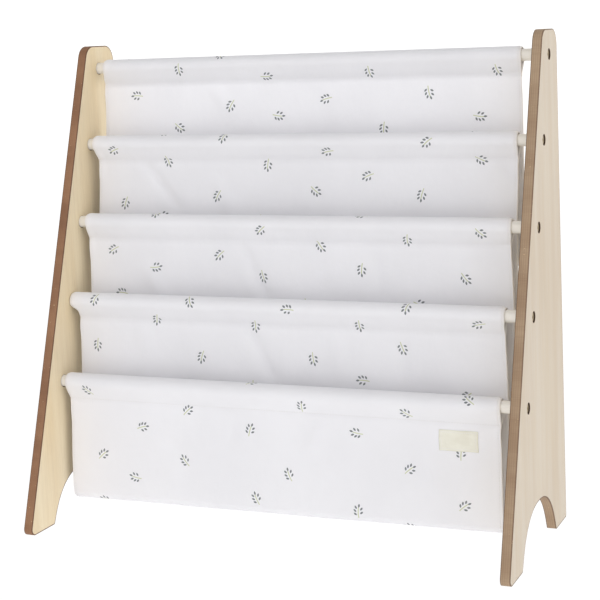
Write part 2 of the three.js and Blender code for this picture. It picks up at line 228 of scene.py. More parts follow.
class Reading:
    """A socket in a tree of nodes that can be added, multiplied and compared."""

    def __init__(self, tree, socket):
        self.tree = tree
        self.socket = socket

    __add__ = __radd__ = maths("ADD")
    __sub__ = maths("SUBTRACT")
    __mul__ = __rmul__ = maths("MULTIPLY")
    __truediv__ = maths("DIVIDE")
    __gt__ = maths("GREATER_THAN")
    __abs__ = maths("ABSOLUTE")
    floor = maths("FLOOR")
    sine = maths("SINE")
    cosine = maths("COSINE")
    most = maths("MAXIMUM")
    least = maths("MINIMUM")

    def __rsub__(self, other):
        return self.tree.node("ShaderNodeMath", {"operation": "SUBTRACT"}, [other, self])

    def rise(self, low, high):
        """0 below low and 1 above high, with a smooth step between."""
        settings = {"interpolation_type": "SMOOTHSTEP"}
        sockets = {"Value": self, "From Min": low, "From Max": high}
        return self.tree.node("ShaderNodeMapRange", settings, sockets)


class Tree:
    """A tree of nodes that grows by one node at a time."""

    def __init__(self, nodes, links):
        self.nodes = nodes
        self.links = links

    def feed(self, socket, value):
        if isinstance(value, Reading):
            self.links.new(value.socket, socket)
        else:
            socket.default_value = value

    def node(self, kind, settings, sockets, output=0):
        made = self.nodes.new(kind)
        for name, value in settings.items():
            setattr(made, name, value)
        entries = sockets.items() if isinstance(sockets, dict) else enumerate(sockets)
        for key, value in entries:
            self.feed(made.inputs[key], value)
        return Reading(self, made.outputs[output])


class Finish(Tree):
    """One material, with its shader's sockets by name."""

    def __init__(self, name):
        self.material = bpy.data.materials.new(name)
        self.material.use_nodes = True
        super().__init__(self.material.node_tree.nodes, self.material.node_tree.links)
        self.shader = self.nodes["Principled BSDF"]
        self.place = self.node("ShaderNodeTexCoord", {}, {}, "Object")

    def axis(self, vector, name):
        return self.node("ShaderNodeSeparateXYZ", {}, [vector], name)

    def mark(self, name):
        return self.node("ShaderNodeAttribute", {"attribute_name": name}, {}, "Fac")

    def noise(self, spread, detail, roughness, over=None):
        """Noise with this many features to the metre along each axis."""
        vectors = [over or self.place, spread]
        scaled = self.node("ShaderNodeVectorMath", {"operation": "MULTIPLY"}, vectors)
        sockets = {"Vector": scaled, "Scale": 1.0, "Detail": detail, "Roughness": roughness}
        return self.node("ShaderNodeTexNoise", {}, sockets)

    def mix(self, share, first, second):
        sockets = {0: share, 6: first, 7: second}
        return self.node("ShaderNodeMix", {"data_type": "RGBA"}, sockets, 2)

    def bump(self, height, distance, strength, under=None):
        sockets = {"Strength": strength, "Distance": distance, "Height": height}
        if under is not None:
            sockets["Normal"] = under
        return self.node("ShaderNodeBump", {}, sockets)

    def set(self, **values):
        sockets = {socket.name.lower(): socket for socket in self.shader.inputs}
        for name, value in values.items():
            self.feed(sockets[name.replace("_", " ")], value)


def paint(red, green, blue):
    """A colour given as a screen shows it, from 0 to 255 each."""
    return (*(((part / 255 + 0.055) / 1.055) ** 2.4 for part in (red, green, blue)), 1.0)


def plywood_finish():
    ply = Finish("laser_cut_plywood")
    across = ply.axis(ply.place, "X")
    scorch = ply.mark("scorch")

    figure = ply.noise((20, 34, 2.6), 3.0, 0.55)
    streaks = ply.noise((200, 420, 11), 4.0, 0.6)
    fibres = ply.noise((900, 2400, 60), 2.0, 0.6)
    blotches = ply.noise((7, 9, 5), 2.0, 0.5)
    depth = abs(across) - inner_face
    # The inner faces are painted lighter and warmer than the outer ones: painted warm bounce
    # light, which stands in for the light the cloth reflects onto them and lifts the shade
    # beside the cloth.
    inner = ply.mix(figure.rise(0.3, 0.7), paint(243, 226, 192), paint(236, 215, 176))
    outer = ply.mix(figure.rise(0.3, 0.7), paint(219, 207, 191), paint(212, 196, 175))
    veneer = ply.mix(depth.rise(0.004, 0.008), inner, outer)
    veneer = ply.mix(streaks.rise(0.42, 0.78) * 0.4, veneer, paint(218, 197, 162))
    veneer = ply.mix((1 - fibres.rise(0.3, 0.42)) * 0.3, veneer, paint(198, 174, 138))
    veneer = ply.mix(blotches.rise(0.35, 0.7) * 0.25, veneer, paint(226, 214, 193))

    ply_wave = ((depth + ply_waver * figure) * (2 * pi / ply_pitch)).sine()
    kerf = ply.noise((40, 1500, 1500), 2.0, 0.6)
    burn = ply.noise((12, 22, 22), 3.0, 0.55)
    # The right board's cut edges are painted paler than the left board's: a painted highlight,
    # for the stronger light that the right board's edges catch.
    left_cut = ply.mix(burn.rise(0.3, 0.7), paint(158, 117, 87), paint(136, 97, 71))
    right_cut_painted_lighter = ply.mix(burn.rise(0.3, 0.7), paint(178, 153, 126), paint(157, 130, 104))
    cut = ply.mix(across.rise(-0.1, 0.1), left_cut, right_cut_painted_lighter)
    cut = ply.mix(ply_wave.rise(-0.4, 0.7) * 0.18, cut, paint(118, 88, 66))
    cut = ply.mix(kerf.rise(0.45, 0.75) * 0.16, cut, paint(106, 78, 58))
    near_face = depth.least(board_thickness - depth)
    cut = ply.mix((1 - near_face.rise(0.0004, 0.0016)) * 0.6, cut, paint(86, 62, 47))
    chips = ply.noise((420, 330, 330), 1.0, 0.4).rise(0.765, 0.78)
    cut = ply.mix(chips * 0.7, cut, paint(214, 186, 146))
    # Marks above 1.1, which only the holes carry, darken the wall to nearly black, far darker
    # than the outer cut edges.
    cut = ply.mix(scorch.rise(1.1, 1.8), cut, paint(58, 43, 34))

    colour = ply.mix(scorch.rise(0.25, 0.85), veneer, cut)
    relief = streaks * 0.35 + fibres * 0.25 + kerf * scorch * 0.6
    ply.set(
        base_color=colour,
        roughness=0.5 + 0.14 * streaks + 0.1 * scorch,
        normal=ply.bump(relief, 0.00012, 0.6),
        specular_ior_level=0.35,
    )
    return ply.material


plywood = plywood_finish()
outline = board_outline()

# Along the cut edge: the distance in from the outline, the depth below the outer face and
# how scorched it is
edge_profile = [
    (scorched_rim, 0.0, 0.0),
    (arris * 2.2, 0.0, 0.8),
    (arris, 0.0, 1.0),
    (arris * 0.3, arris * 0.3, 1.0),
    (0.0, arris, 1.0),
]
edge_profile += [
    (into, board_thickness - depth, mark) for into, depth, mark in reversed(edge_profile)
]

# Through each hole: the radius, the depth below the outer face, its mark (up to 1, how scorched
# it is; above 1.1, the wall is darkened to nearly black) and how far it lies below the rod's
# axis
socket_floor = board_thickness - socket_depth
hole_profile = [
    (head_hole_radius + hole_scorch, 0.0, 0.0, 0.0),
    (head_hole_radius + hole_ease, 0.0, 0.9, 0.0),
    (head_hole_radius, hole_edge, 1.6, 0.0),
    (head_hole_radius, head_hole_depth, 2.0, 0.0),
    (shank_hole_radius, head_hole_depth, 2.0, 0.0),
    (shank_hole_radius, socket_floor, 1.0, 0.0),
    (socket_radius, socket_floor, 1.2, socket_lowered),
    (socket_radius, board_thickness - hole_edge, 1.0, socket_lowered),
    (socket_radius + hole_ease, board_thickness, 0.4, socket_lowered),
    (socket_radius + socket_scorch, board_thickness, 0.0, socket_lowered),
]

for side_name, side in (("left", -1), ("right", 1)):
    board = Shell()
    edge_rings = []
    for into, depth, mark in edge_profile:
        x = side * (outer_face - depth)
        edge_rings.append(board.ring([(x, y, z) for y, z in inset(outline, into)], mark))
    board.chain(edge_rings)
    caps = [[edge_rings[0]], [edge_rings[-1]]]
    for axis in rod_axes:
        hole_rings = []
        for radius, depth, mark, lowered in hole_profile:
            x = side * (outer_face - depth)
            centre = (axis[0], axis[1] - lowered)
            hole_rings.append(board.ring(circle(x, centre, radius, hole_sides), mark))
        board.chain(hole_rings)
        caps[0].append(hole_rings[0])
        caps[1].append(hole_rings[-1])
    for rings in caps:
        corners = [index for ring in rings for index in ring]
        flat = [[Vector(board.points[index][1:]).to_3d() for index in ring] for ring in rings]
        for triangle in tessellate_polygon(flat):
            board.faces.append(tuple(corners[index] for index in triangle))
    panel = board.object(f"plywood_panel_{side_name}", plywood, "scorch", 60)
    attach(panel, "root")
    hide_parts(f"side_panel_{side_name}")

# Rods
# Five beech dowels, sprayed with cream lacquer, that step forward and down. Each end stands
# in its socket and is bored for a threaded insert.

rod_chamfer = 0.0008
rod_bore_radius = 0.0051
rod_bore_depth = 0.023
rod_sides = 64


def lacquer_finish():
    lacquer = Finish("cream_lacquer")
    runs = lacquer.noise((9, 60, 60), 3.0, 0.55)
    grain = lacquer.noise((30, 900, 900), 3.0, 0.6)
    peel = lacquer.noise((420, 420, 420), 2.0, 0.5)
    body = lacquer.mix(runs.rise(0.3, 0.7), paint(239, 236, 231), paint(234, 230, 223))
    worn = lacquer.mark("wear")
    colour = lacquer.mix(worn.rise(0.2, 1.0) * 0.7, body, paint(198, 174, 138))
    lacquer.set(
        base_color=colour,
        roughness=0.33 + 0.12 * runs,
        normal=lacquer.bump(grain * 0.5 + peel * 0.5, 0.00008, 0.5),
        coat_weight=0.15,
        coat_roughness=0.25,
    )
    return lacquer.material


lacquer = lacquer_finish()
rod_end = rod_boxes[0][1].x
for number, axis in zip(rod_numbers, rod_axes):
    rod = Shell()
    end_profile = [
        (rod_end - rod_bore_depth, rod_bore_radius, 1.0),
        (rod_end, rod_bore_radius, 1.0),
        (rod_end, rod_radius - rod_chamfer, 1.0),
        (rod_end - rod_chamfer * 0.3, rod_radius - rod_chamfer * 0.3, 0.6),
        (rod_end - rod_chamfer, rod_radius, 0.2),
        (rod_end - 2.5 * rod_chamfer, rod_radius, 0.0),
    ]
    profile = [(-x, radius, mark) for x, radius, mark in end_profile]
    profile += reversed(end_profile)
    rings = [rod.ring(circle(x, axis, radius, rod_sides), mark) for x, radius, mark in profile]
    rod.chain(rings)
    rod.faces += [tuple(rings[0]), tuple(rings[-1])]
    dowel = rod.object(f"lacquered_rod_{number}", lacquer, "wear")
    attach(dowel, "root")
    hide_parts(f"rod_{number}")

# Inserts
# Ten threaded inserts of zinc alloy, one glued into each rod end. The boards hide them, so
# they keep their plain turned shape.


def zinc_finish():
    zinc = Finish("cast_zinc")
    cloud = zinc.noise((300, 300, 300), 4.0, 0.6)
    turning = zinc.noise((2600, 40, 40), 1.0, 0.5)
    zinc.set(
        base_color=zinc.mix(cloud, paint(176, 174, 166), paint(146, 145, 139)),
        metallic=0.9,
        roughness=0.34 + 0.2 * cloud,
        normal=zinc.bump(turning, 0.0001, 0.5),
    )
    return zinc.material


zinc = zinc_finish()
for number in rod_numbers:
    for side_name in ("left", "right"):
        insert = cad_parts[f"rod_insert_{side_name}_{number}"]
        for held in insert.material_slots:
            held.material = zinc

# Bolts
# Ten steel connector bolts with a bronze finish, turned with a flat head and a hexagon
# recess. Each goes through a panel and screws into the insert in a rod's end.

head_radius = 0.0063
head_thickness = 0.0022
shank_radius = 0.003
bolt_low, bolt_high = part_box("connector_bolt_right_1")
head_seat = bolt_high.x - head_thickness
bolt_tip = head_seat - bolt_low.x
head_edge = 0.0006
head_ease = 0.0002
head_round = 0.00015
shank_chamfer = 0.001
key_half_width = 0.002
key_depth = 0.0028
key_point = 0.0006
key_mouth_share = 1.09
key_floor_share = 0.05
bolt_sides = 36
bolt_seed = 4


def bronze_finish():
    bronze = Finish("bronzed_steel")
    worn = bronze.mark("wear")
    cloud = bronze.noise((700, 700, 700), 3.0, 0.6)
    colour = bronze.mix(cloud.rise(0.35, 0.7), paint(186, 166, 130), paint(156, 135, 102))
    colour = bronze.mix(worn * cloud.rise(0.2, 0.6) * 0.7, colour, paint(206, 190, 154))
    bronze.set(
        base_color=colour,
        metallic=0.6,
        roughness=0.32 + 0.22 * cloud,
        normal=bronze.bump(cloud, 0.00006, 0.5),
    )
    return bronze.material


def bolt_pattern():
    """One bolt, with the seat of its head at x = 0 and its shank running to +X."""
    bolt = Shell()
    centre = (0.0, 0.0)

    def hexagon(x, share=1.0):
        corner = key_half_width / cos(pi / 6) * share
        turns = [side * pi / 3 for side in range(6)]
        corners = [Vector((0, cos(turn), sin(turn))) * corner for turn in turns]
        points = []
        for index in range(6):
            after = corners[(index + 1) % 6]
            points += [corners[index].lerp(after, step / 6) for step in range(6)]
        return [(x, point.y, point.z) for point in points]

    rings = [bolt.ring(hexagon(key_depth - head_thickness + key_point, key_floor_share))]
    rings.append(bolt.ring(hexagon(key_depth - head_thickness)))
    rings.append(bolt.ring(hexagon(head_ease - head_thickness)))
    rings.append(bolt.ring(hexagon(-head_thickness, key_mouth_share), 1.0))
    turned = [
        (-head_thickness, head_radius - head_edge, 0.4),
        (head_ease - head_thickness, head_radius - head_round, 1.0),
        (head_edge - head_thickness, head_radius, 0.6),
        (0.0, head_radius, 0.0),
        (0.0, shank_radius, 0.0),
        (bolt_tip - shank_chamfer, shank_radius, 0.0),
        (bolt_tip, shank_radius - shank_chamfer, 0.0),
    ]
    for x, radius, mark in turned:
        rings.append(bolt.ring(circle(x, centre, radius, bolt_sides), mark))
    bolt.chain(rings)
    bolt.faces += [tuple(rings[0]), tuple(rings[-1])]
    return bolt.object("bolt_pattern", bronze_finish(), "wear", 35)


class Repeat(Tree):
    """A geometry tree that lays a pattern out, with named inputs for its sizes."""

    def __init__(self, name, **inputs):
        self.group = bpy.data.node_groups.new(name, "GeometryNodeTree")
        self.group.is_modifier = True
        super().__init__(self.group.nodes, self.group.links)
        sides = self.group.interface
        sides.new_socket(name="Geometry", in_out="INPUT", socket_type="NodeSocketGeometry")
        sides.new_socket(name="Geometry", in_out="OUTPUT", socket_type="NodeSocketGeometry")
        self.inputs = {}
        for label, kind in inputs.items():
            socket_type = f"NodeSocket{kind}"
            made = sides.new_socket(name=label, in_out="INPUT", socket_type=socket_type)
            self.inputs[label] = made.identifier
        self.entry = self.nodes.new("NodeGroupInput")

    def given(self, label):
        return Reading(self, self.entry.outputs[label])

    def finish(self, **sockets):
        """Sets the pattern on the points as real faces, in the finish that is given."""
        instances = self.node("GeometryNodeInstanceOnPoints", {}, sockets)
        real = self.node("GeometryNodeRealizeInstances", {}, [instances])
        sockets = {0: real, "Material": self.given("Finish")}
        dressed = self.node("GeometryNodeSetMaterial", {}, sockets)
        ending = self.nodes.new("NodeGroupOutput")
        self.links.new(dressed.socket, ending.inputs[0])

    def apply(self, name, points, edges, **values):
        """The plain mesh that the tree makes on these points and edges."""
        base = bpy.data.meshes.new(name)
        base.from_pydata(points, edges, [])
        carrier = placed(name, base)
        modifier = carrier.modifiers.new(name, "NODES")
        modifier.node_group = self.group
        for label, value in values.items():
            modifier[self.inputs[label.replace("_", " ").capitalize()]] = value
        graph = bpy.context.evaluated_depsgraph_get()
        laid = bpy.data.meshes.new_from_object(carrier.evaluated_get(graph))
        carrier.modifiers.remove(modifier)
        carrier.data = laid
        return carrier


pattern = bolt_pattern()
row = Repeat("bolt_rows", Bolt="Object", Spin="Float", Finish="Material")
bolt_shape = row.node("GeometryNodeObjectInfo", {}, {"Object": row.given("Bolt")}, "Geometry")
where = row.node("GeometryNodeInputPosition", {}, {})
side_x = row.node("ShaderNodeSeparateXYZ", {}, [where], "X")
spin = row.node(
    "FunctionNodeRandomValue", {}, {2: 0.0, 3: row.given("Spin"), "Seed": bolt_seed}, 1
)
turn = row.node("ShaderNodeCombineXYZ", {}, {"X": spin, "Z": (side_x > 0.0) * pi})
row.finish(Points=row.given("Geometry"), Instance=bolt_shape, Rotation=turn)
seats = [(side * head_seat, y, z) for side in (-1, 1) for y, z in rod_axes]
bronze = pattern.data.materials[0]
bolts = row.apply("connector_bolts", seats, [], bolt=pattern, spin=pi / 3, finish=bronze)
bpy.data.objects.remove(pattern)
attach(bolts, "root")
for side_name in ("left", "right"):
    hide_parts(*(f"connector_bolt_{side_name}_{number}" for number in rod_numbers))

# Sling
# One long panel of white cotton canvas, two layers sewn round the edge and turned, so that
# both faces show the print. It goes over each rod in a casing closed by a row of stitches,
# and hangs between the rods as four pockets, each in front of the one above.

half_cloth = 0.0005
thread_pitch = 0.00056
sleeve_radius = rod_radius + 0.0031
sleeve_settle = 0.0001
seam_drop = 0.022
tail_drop = 0.026
layer_shift = 0.00065
pocket_drop = 0.1559
pocket_roundness = 0.6
front_lean = 0.003
back_lean = 0.006
lean_reach = 0.11
back_extra = 0.1
sag = 0.0005
right_lift = 0.0038
sling_left = -0.2925
sling_right = 0.2835
sling_width = sling_right - sling_left

# The side edges: how they are rounded, and the hem where the cloth is turned in
edge_round = 0.0005
hem_swell = 0.00022
hem_width = 0.0088
hem_fade = 0.0016
hem_columns = (0.0, 0.0005, 0.0018, 0.0045, 0.0075, 0.0095, 0.0125, 0.0165)
first_inner_column = 0.022

# Where the side edges lie in X: each sleeve's ends, and each wall's edges as they leave its
# casing and further down. The cloth draws in between the two pull drops below its rod.
sleeve_left_ends = (-0.2931, -0.2962, -0.2942, -0.3035, -0.2973)
sleeve_right_ends = (0.2838, 0.2856, 0.2845, 0.2832, 0.2848)
wall_left_tops = (-0.2949, -0.2906, -0.2930, -0.2935, -0.2940)
wall_left_lows = (-0.2968, -0.2933, -0.2921, -0.2943, -0.2956)
wall_right_tops = (0.2824, 0.2848, 0.2822, 0.2819, 0.2832)
wall_right_lows = (0.2840, 0.2821, 0.2851, 0.2849, 0.2832)
wall_edge_reach = 0.08
pull_starts = (0.002, 0.000, 0.005, 0.004, 0.004)
pull_ends = (0.022, 0.028, 0.022, 0.014, 0.032)
end_hug = 0.0014
end_hug_reach = 0.0022

sleeve_step = 0.0026
wall_step = 0.0065
floor_step = 0.0026
column_step = 0.0065

# How the cloth leaves its even shape: slow waves in a wall, puckers above and below a seam,
# and side edges that curl forward below a casing
wave_depth = 0.0012
wave_count = 3.5
wave_shift = 0.37
wave_reach = 0.09
pucker_depth = 0.0015
pucker_above = 0.013
pucker_below = 0.006
pucker_lengths = (0.047, 0.029, 0.0173, 0.0111)
pucker_rod_shift = 2.1
pucker_wave_shift = 1.3
pucker_share_above = 0.9
pucker_share_below = 0.7
pucker_sharpness = 1.5
pucker_stop_share = 0.2
curl_depth = 0.0018
curl_width = 0.006
curl_drop = 0.036
curl_reach = 0.011
curl_end = 0.09
fold_start = 0.014
fold_end = 0.03

# The folds below each rod, from the top. Each is where it starts in X, how far it leans to
# the side as it goes down, its width, its depth and the drops between which it shows.
folds = (
    (
        (-0.133, 0.7, 0.009, -0.0024, 0.024, 0.075),
        (0.012, 0.2, 0.009, 0.0019, 0.026, 0.08),
        (0.17, -0.3, 0.015, -0.0018, 0.03, 0.1),
    ),
    (
        (-0.225, 0.8, 0.008, 0.0036, 0.022, 0.1),
        (-0.12, 0.5, 0.009, -0.0024, 0.04, 0.1),
        (0.255, 0.5, 0.009, 0.0022, 0.024, 0.07),
        (0.08, -0.3, 0.014, 0.002, 0.03, 0.11),
    ),
    (
        (-0.07, 0.45, 0.008, 0.0036, 0.024, 0.11),
        (0.066, -0.35, 0.009, -0.0023, 0.024, 0.08),
        (0.114, 0.0, 0.008, 0.0022, 0.03, 0.1),
        (0.229, 0.05, 0.008, -0.0019, 0.024, 0.09),
        (-0.21, 0.5, 0.011, -0.0024, 0.05, 0.12),
    ),
    (
        (-0.052, 0.55, 0.009, 0.0036, 0.024, 0.11),
        (0.068, 0.1, 0.009, -0.0024, 0.024, 0.09),
        (0.157, -0.05, 0.009, 0.0022, 0.03, 0.1),
        (-0.2, 0.05, 0.009, -0.002, 0.024, 0.08),
    ),
    (
        (-0.056, -0.2, 0.009, 0.0025, 0.026, 0.08),
        (0.062, -0.4, 0.01, -0.0025, 0.024, 0.09),
        (-0.15, 0.5, 0.014, 0.0024, 0.06, 0.14),
        (0.19, 0.25, 0.013, -0.0022, 0.05, 0.13),
    ),
)


def smooth(share):
    """A share that starts and ends gently, held between 0 and 1."""
    share = np.clip(share, 0, 1)
    return share * share * (3 - 2 * share)


def blend(first, second, share):
    """The first at share 0, the second at share 1."""
    return first + (second - first) * share


def flattened(share):
    """A sine or cosine that makes a pocket's floor flatter, with tighter corners."""
    return copysign(abs(share) ** pocket_roundness, share)


def ripple(x, rod):
    """An uneven wave along a rod, from 0 to 1."""
    waves = 0
    for place, length in enumerate(pucker_lengths):
        shift = rod * pucker_rod_shift
        waves = waves + np.sin(2 * pi * x / length + shift + pucker_wave_shift * place)
    return 0.5 + 0.5 * waves / len(pucker_lengths)


def fold_shift(rod, x, drop):
    """How far the cloth that hangs from a rod moves back."""
    wave = np.sin(2 * pi * (wave_count * x / sling_width + rod * wave_shift))
    shift = wave_depth * wave * smooth((drop - seam_drop) / wave_reach)
    for start, lean, width, depth, top, bottom in folds[rod]:
        offset = (x - start - lean * (drop - top)) / width
        shown = smooth((drop - top) / fold_start) * smooth((bottom - drop) / fold_end)
        shift = shift + depth * np.exp(-offset * offset) * shown
    return shift


def pucker(rod, x, drop):
    """How far the cloth stands off beside a seam, where the stitches gather it."""
    above = np.clip((seam_drop - drop) / pucker_above, 0, 1)
    below = np.clip((drop - seam_drop) / pucker_below, 0, None)
    height = np.sin(pi * above) * pucker_share_above
    height = height + below * np.exp(1 - below) * pucker_share_below
    return pucker_depth * height * ripple(x, rod) ** pucker_sharpness


def curl(x, drop):
    """How far the cloth's side edges turn forward just below a casing."""
    edge = np.minimum(x - sling_left, sling_right - x)
    reach = np.exp(-np.clip(edge, 0, None) / curl_width)
    return curl_depth * reach * np.exp(-(((drop - curl_drop) / curl_reach) ** 2))


def wall_y(rod, drop, lean, forward):
    """The middle of a wall that hangs from a rod, before its folds: forward is 1 or -1."""
    seam = rod_axes[rod][0] - forward * layer_shift
    return blend(seam, rod_axes[rod][0] - lean, smooth((drop - seam_drop) / lean_reach))


def sling_rows():
    """The sling's rows, from the top rod's tail to the lowest rod's tail.

    Each is its y and z, its drop below its rod, that rod, the next rod, its share of the way
    to the next, its outward y and z, and 1 on a sleeve or 0 on a wall.
    """
    rows = []

    def wall(rod, drops, lean, facing, share, other):
        for drop in drops:
            y = wall_y(rod, drop, lean, facing)
            rows.append([y, rod_axes[rod][1] - drop, drop, rod, other, share, -facing, 0.0, 0])

    def sleeve(rod, start_facing):
        """From the seam up over the rod and down again: the start facing is -1 from behind."""
        axis_y, axis_z = rod_axes[rod]
        centre_z = axis_z - sleeve_settle
        reach = seam_drop - sleeve_settle
        tangent = asin(sleeve_radius / reach)
        straight = reach * cos(tangent)
        straight_steps = round(straight / sleeve_step)
        arc = pi + 2 * tangent
        arc_steps = round(arc * sleeve_radius / (sleeve_step * 0.75))
        touch_y = sleeve_radius * cos(tangent)
        touch_z = -sleeve_radius * sin(tangent)
        shares = [step / straight_steps for step in range(1, straight_steps)]

        def add(y, z, out_y, out_z):
            place = [axis_y + y, centre_z + z, sleeve_settle - z]
            rows.append([*place, rod, rod, 0.0, out_y, out_z, 1])

        def straight_part(facing, way):
            for share in way:
                y = blend(layer_shift, touch_y, share) * facing
                add(y, blend(-reach, touch_z, share), facing, 0.0)

        straight_part(-start_facing, shares)
        for step in range(arc_steps + 1):
            angle = -tangent + arc * step / arc_steps
            out_y = cos(angle) * -start_facing
            out_z = sin(angle)
            add(sleeve_radius * out_y, sleeve_radius * out_z, out_y, out_z)
        straight_part(start_facing, [1 - share for share in shares])

    lowest = rod_count - 1
    wall(0, np.linspace(tail_drop, seam_drop, 3), 0.0, -1, 0.0, 0)
    sleeve(0, -1)
    for back in range(lowest):
        front = back + 1
        bottom_back = rod_axes[back][0] - back_lean
        bottom_front = rod_axes[front][0] - front_lean
        radius = (bottom_back - bottom_front) / 2
        centre_y = (bottom_back + bottom_front) / 2
        centre_z = rod_axes[front][1] - pocket_drop + radius
        back_length = rod_axes[back][1] - centre_z
        front_length = rod_axes[front][1] - centre_z
        steps = round((back_length - seam_drop) / wall_step)
        wall(back, np.linspace(seam_drop, back_length, steps), back_lean, 1, 0.0, front)
        turns = round(pi * radius / floor_step)
        for turn in range(1, turns):
            share = turn / turns
            angle = pi * share
            z = centre_z - radius * flattened(sin(angle))
            y = centre_y + radius * flattened(cos(angle))
            drop = blend(rod_axes[back][1], rod_axes[front][1], share) - z
            rows.append([y, z, drop, back, front, share, 0.0, -1.0, 0])
        steps = round((front_length - seam_drop) / wall_step)
        facing = 1 if front == lowest else -1
        wall(front, np.linspace(front_length, seam_drop, steps), front_lean, facing, 1.0, front)
        sleeve(front, facing)
    wall(lowest, np.linspace(seam_drop, tail_drop, 3), 0.0, -1, 0.0, lowest)
    return rows


def sling_columns():
    """Distances from the left edge at which the cloth has a column of points."""
    inner = np.arange(first_inner_column, sling_width / 2, column_step)
    left = [*hem_columns, *inner]
    right = [sling_width - distance for distance in reversed(left)]
    return np.array([*left, *right])


def cloth_half(distance):
    """Half the cloth's thickness at a distance from its edge, which is fuller in the hem."""
    rounded = np.sqrt(np.clip(distance / edge_round, 0.12, 1))
    turned = hem_swell * smooth((hem_width - distance) / hem_fade)
    return (half_cloth + turned) * rounded


def outward(points):
    """The outward normal at each point of a surface laid out in rows and columns."""
    normals = np.cross(np.gradient(points, axis=1), np.gradient(points, axis=0))
    return normals / np.linalg.norm(normals, axis=2)[..., None]


def sling_surface():
    """The middle of the cloth, row by row and column by column, and its outward normals."""
    rows = np.array(sling_rows())
    y, z, drop, rod, other, share, out_y, out_z, sleeve = [column[:, None] for column in rows.T]
    columns = sling_columns()
    flat_x = (columns + sling_left)[None, :]
    rods = rod.astype(int)[:, 0]
    others = other.astype(int)[:, 0]
    shape = (len(rows), len(columns))
    shift = np.zeros(shape)
    gather = np.zeros(shape)
    for number in range(rod_count):
        own = fold_shift(number, flat_x, drop)
        weight = (rods == number)[:, None] * (1 - share) + (others == number)[:, None] * share
        shift += np.where(sleeve > 0, 0, own * weight)
        gathered = np.where(sleeve > 0, rods[:, None] == number, weight)
        gather += pucker(number, flat_x, drop) * gathered
    full_drop = pocket_drop + back_extra * (1 - share[:, 0])
    depth = smooth((drop[:, 0] - seam_drop) / (full_drop - seam_drop))
    side = 2 * (flat_x - (sling_left + sling_right) / 2) / sling_width
    slung = sag * (1 - side * side) - right_lift * (1 + side) / 2
    lowered = slung * depth[:, None] * (sleeve < 1)
    stands = np.where(drop > -rod_radius * pucker_stop_share, 1.0, 0.0)
    from_edge = np.minimum(columns, sling_width - columns)[None, :]
    off_seam = np.clip((seam_drop - drop) / seam_drop, 0, 1) * (sleeve > 0)
    hug = end_hug * np.exp(-((from_edge / end_hug_reach) ** 2)) * off_seam

    def side_edge(ends, tops, lows):
        """One side edge's place in X, row by row."""

        def below(numbers):
            drops = drop[:, 0]
            starts = np.array(pull_starts)[numbers]
            stops = np.array(pull_ends)[numbers]
            held = 1 - smooth((drops - starts) / (stops - starts))
            down = np.clip((drops - seam_drop) / wall_edge_reach, 0, 1)
            wall = blend(np.array(tops)[numbers], np.array(lows)[numbers], down)
            return blend(wall, np.array(ends)[numbers], held)

        return blend(below(rods), below(others), share[:, 0])[:, None]

    points = np.zeros((*shape, 3))
    left = side_edge(sleeve_left_ends, wall_left_tops, wall_left_lows)
    right = side_edge(sleeve_right_ends, wall_right_tops, wall_right_lows)
    points[..., 0] = blend(left, right, columns[None, :] / sling_width)
    curls = (sleeve < 1) * (drop < curl_end)
    forward = curl(flat_x, drop) * curls
    points[..., 1] = y + shift + out_y * (gather * stands - hug) - forward
    points[..., 2] = z - lowered - out_z * hug * (sleeve > 0)
    return points, outward(points), columns, rows


def plain_weave(u, v, warp_pitch, weft_pitch, softness):
    """Warp and weft threads that pass over each other in turn: 1 on top of a thread."""
    warp = (u * (pi / warp_pitch)).sine()
    weft = (v * (pi / weft_pitch)).sine()
    over = (warp * weft).rise(-softness, softness)
    return abs(warp) * over + abs(weft) * (1 - over)


